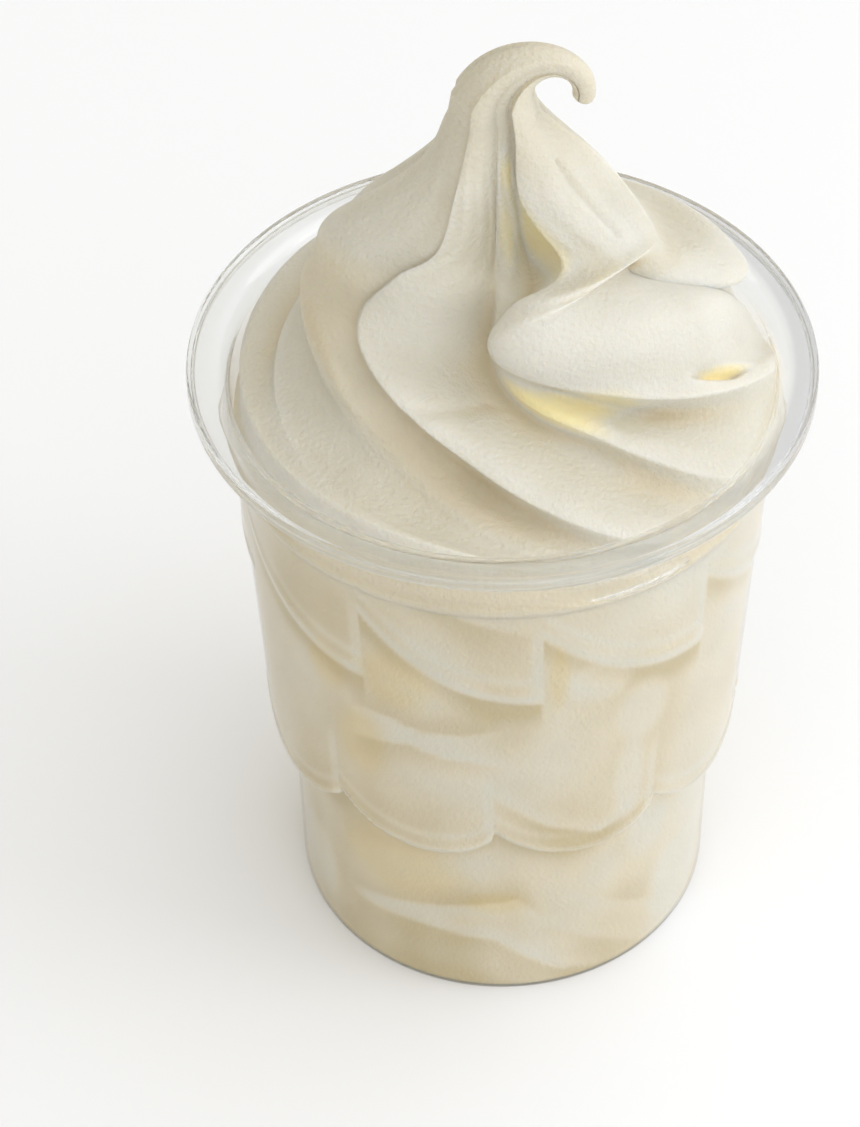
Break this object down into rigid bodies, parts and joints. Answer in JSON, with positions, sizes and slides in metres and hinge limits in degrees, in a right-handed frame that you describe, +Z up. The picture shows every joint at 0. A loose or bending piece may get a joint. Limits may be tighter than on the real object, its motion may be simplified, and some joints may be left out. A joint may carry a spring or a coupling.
{
  "type": "ice cream sundae",
  "caption": "Clear plastic cup with moulded petals, filled with vanilla soft serve that rises above the rim in a folded swirl and ends in a hooked tip.",
  "frame": {"origin": "middle of the cup's base, on the surface that it stands on", "axes": "+Z up along the cup's axis, -Y towards the side that the picture shows, +X to the right, where the tip's hook points"},
  "size_m": [0.078, 0.0779, 0.1384],
  "materials": {
    "clear_plastic": "clear and glossy",
    "vanilla_soft_serve": "satin, finely grained"
  },
  "bodies": {
    "root": {"cup": "clear_plastic", "soft_serve": "vanilla_soft_serve"}
  },
  "joints": []
}
